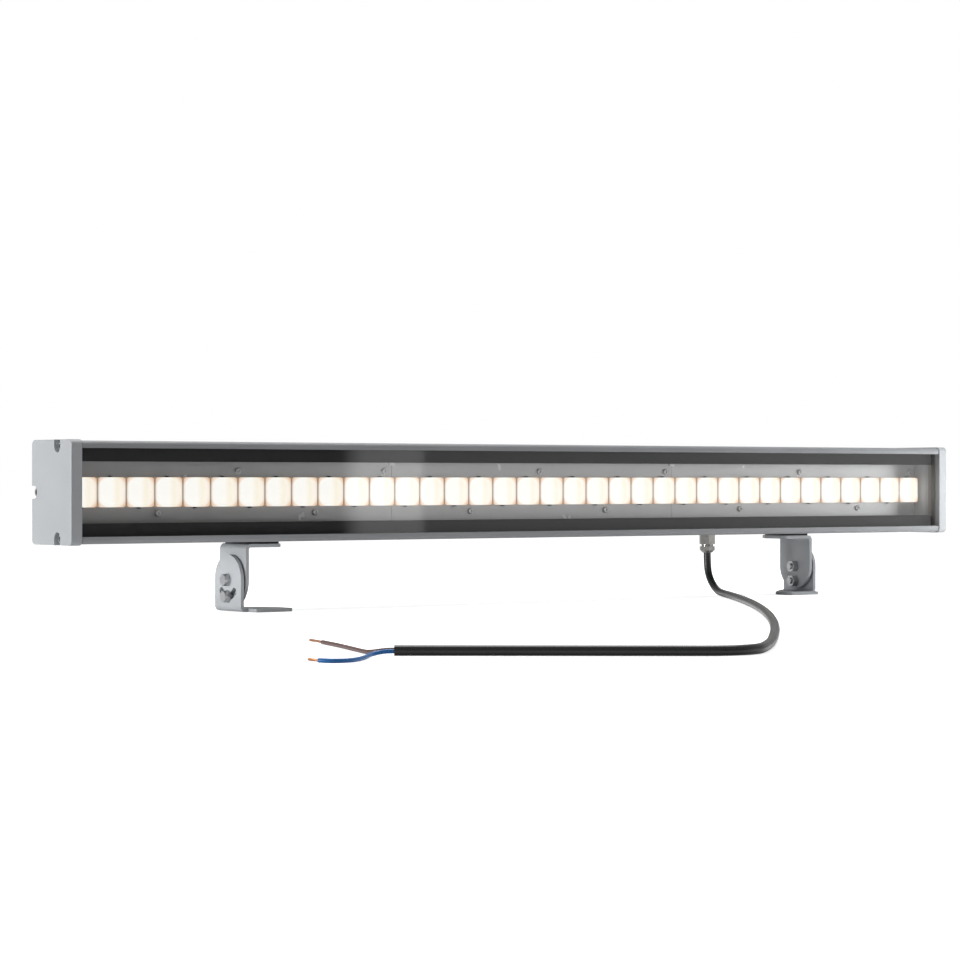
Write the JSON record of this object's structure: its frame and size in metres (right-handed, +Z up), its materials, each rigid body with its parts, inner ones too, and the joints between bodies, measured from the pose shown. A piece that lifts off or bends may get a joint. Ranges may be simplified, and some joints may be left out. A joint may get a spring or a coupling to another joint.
{
  "type": "outdoor wall washer light",
  "caption": "Long outdoor wall washer: extruded aluminium housing with a row of lensed LEDs behind glass, on two tilting sheet-steel brackets, with a two-core cable.",
  "frame": {"origin": "on the floor, under the middle of the housing's box", "axes": "+X along the housing, to the right as seen from the side that shines; -Y is the side that shines; +Z up"},
  "size_m": [1.1374, 0.7562, 0.146],
  "materials": {
    "powder_coat": "satin",
    "glass": "gloss",
    "black_silicone": "matte",
    "led_board": "satin",
    "led_phosphor": "matte",
    "lens": "gloss",
    "stainless": "brushed",
    "nickel_brass": "gloss",
    "driver_aluminium": "satin",
    "circuit_board": "matte",
    "components": "matte",
    "wire": "satin",
    "cable_sheath": "satin",
    "core_brown": "satin",
    "core_blue": "satin",
    "copper": "brushed"
  },
  "bodies": {
    "housing": {"blue_copper": "copper", "blue_core": "core_blue", "board_links": "components", "board_screws": "stainless", "bracket_pad_left": "black_silicone", "bracket_pad_right": "black_silicone", "bracket_screws": "stainless", "brown_copper": "copper", "brown_core": "core_brown", "cable_inside": "cable_sheath", "cap_screws": "stainless", "driver_board": "circuit_board", "driver_components": "components", "driver_feed_wires": "wire", "driver_lid": "driver_aluminium", "driver_screws": "stainless", "driver_tray": "driver_aluminium", "end_cap_left": "powder_coat", "end_cap_right": "powder_coat", "end_gasket_left": "black_silicone", "end_gasket_right": "black_silicone", "front_glass": "glass", "gland_body": "nickel_brass", "gland_locknut": "nickel_brass", "gland_nut": "nickel_brass", "gland_seal": "black_silicone", "gland_washer": "black_silicone", "glass_seal_lower": "black_silicone", "glass_seal_upper": "black_silicone", "housing_extrusion": "powder_coat", "led_board_1": "led_board", "led_board_2": "led_board", "led_board_3": "led_board", "led_chips_1": "led_phosphor", "led_chips_2": "led_phosphor", "led_chips_3": "led_phosphor", "led_wires": "wire", "lens_row_1": "lens", "lens_row_2": "lens", "lens_row_3": "lens", "lock_bolts": "stainless", "pivot_bolts": "stainless", "power_cable": "cable_sheath", "slot_nuts": "stainless", "supply_cores": "wire", "terminal_block": "components", "terminal_screw": "stainless", "tilt_nuts": "stainless", "tilt_spacers": "stainless", "tilt_washers": "stainless", "upper_bracket_left": "powder_coat", "upper_bracket_right": "powder_coat"},
    "foot_left": {"lower_bracket_left": "powder_coat"},
    "foot_right": {"lower_bracket_right": "powder_coat"}
  },
  "joints": [
    {"name": "tilt_left", "type": "hinge", "parent": "housing", "child": "foot_left", "pos_m": [-0.3298, 0, 0.027], "axis": [1, 0, 0], "range_deg": [-45, 45]},
    {"name": "tilt_right", "type": "hinge", "parent": "housing", "child": "foot_right", "pos_m": [0.3298, 0, 0.027], "axis": [1, 0, 0], "range_deg": [-45, 45]}
  ],
  "couplings": [
    {"joint": "tilt_right", "follows": "tilt_left", "ratio": 1}
  ]
}
